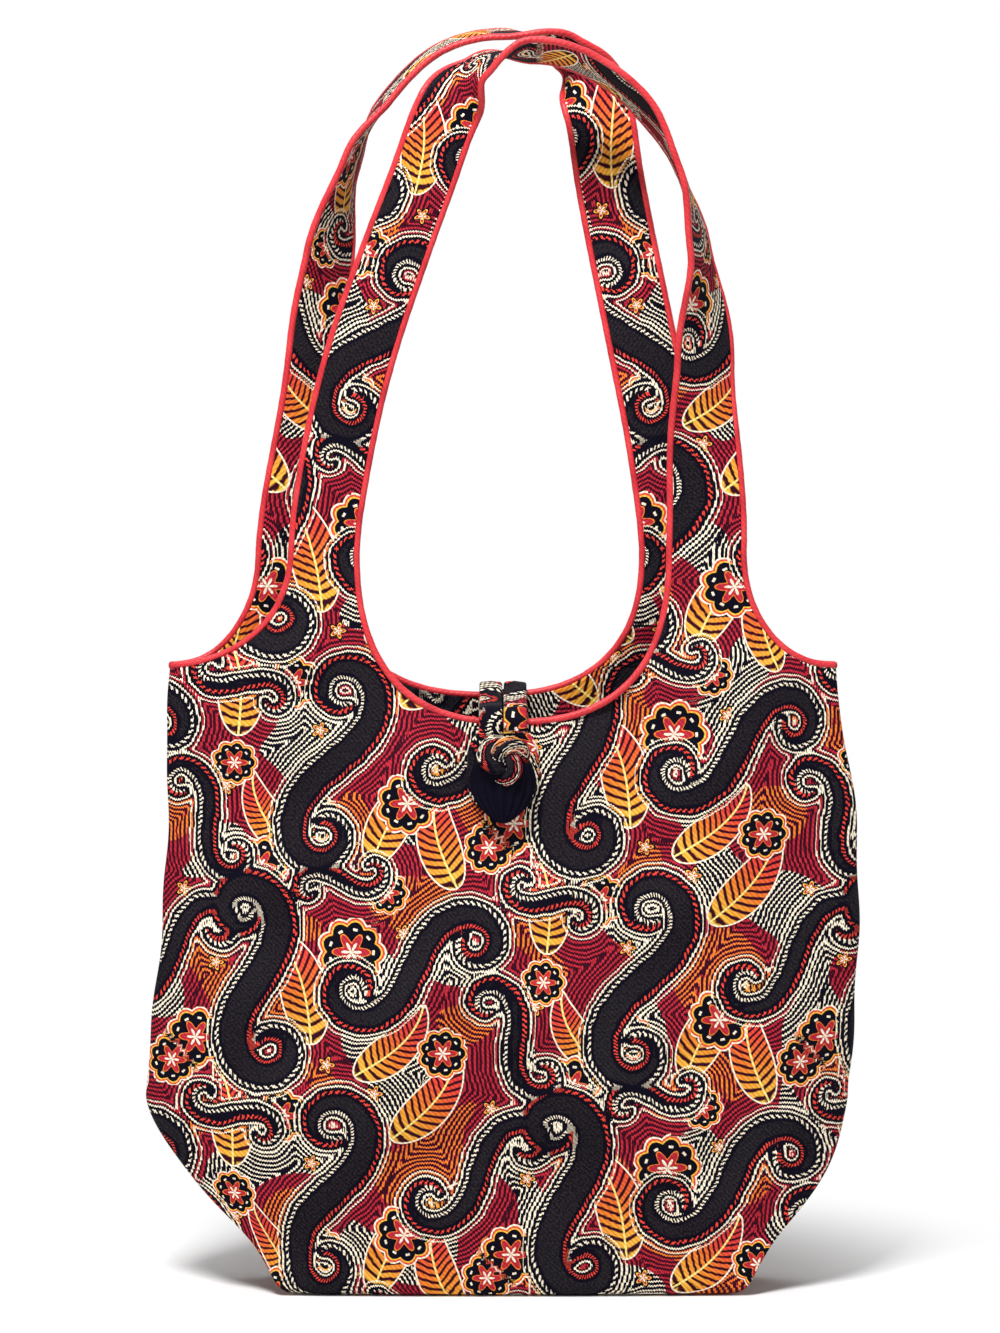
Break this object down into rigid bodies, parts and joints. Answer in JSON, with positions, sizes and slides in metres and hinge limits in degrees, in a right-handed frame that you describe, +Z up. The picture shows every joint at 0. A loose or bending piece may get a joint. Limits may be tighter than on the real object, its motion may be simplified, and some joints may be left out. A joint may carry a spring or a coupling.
{
  "type": "tote bag",
  "caption": "Soft brocade shoulder tote with a boxed base, scooped neckline, straps cut in one with the panels, corded edges and a knot-and-loop closure.",
  "frame": {"origin": "middle of the base, on the surface that the bag stands on", "axes": "+Z up to the straps, -Y the front with the knot button, +X to the right seen from the front"},
  "size_m": [0.356, 0.0887, 0.6356],
  "materials": {
    "brocade": "figured jacquard weave with a low silk sheen",
    "lining": "same jacquard, seen in shade",
    "piping": "corded satin piping",
    "knot_cloth": "jacquard strip folded and knotted"
  },
  "bodies": {
    "bag": {"front_panel": "brocade", "back_panel": "brocade", "front_lining": "lining", "back_lining": "lining", "front_neck_piping": "piping", "front_armhole_piping_left": "piping", "front_armhole_piping_right": "piping", "back_neck_piping": "piping", "back_armhole_piping_left": "piping", "back_armhole_piping_right": "piping", "knot_button": "knot_cloth", "knot_shank": "knot_cloth", "loop_anchor": "knot_cloth"},
    "front_strap": {"front_strap": "brocade", "front_strap_lining": "lining", "front_strap_neck_piping": "piping", "front_strap_side_piping": "piping"},
    "back_strap": {"back_strap": "brocade", "back_strap_lining": "lining", "back_strap_neck_piping": "piping", "back_strap_side_piping": "piping"},
    "closure_loop": {"closure_loop": "knot_cloth"}
  },
  "joints": [
    {"name": "front_strap_fold", "type": "hinge", "parent": "bag", "child": "front_strap", "pos_m": [0, -0.0101, 0.375], "axis": [1, 0, 0], "range_deg": [0, 160]},
    {"name": "back_strap_fold", "type": "hinge", "parent": "bag", "child": "back_strap", "pos_m": [0, 0.0101, 0.375], "axis": [1, 0, 0], "range_deg": [-160, 0]},
    {"name": "closure_loop_lift", "type": "hinge", "parent": "bag", "child": "closure_loop", "pos_m": [0, 0.0201, 0.3036], "axis": [1, 0, 0], "range_deg": [-150, 0]}
  ]
}
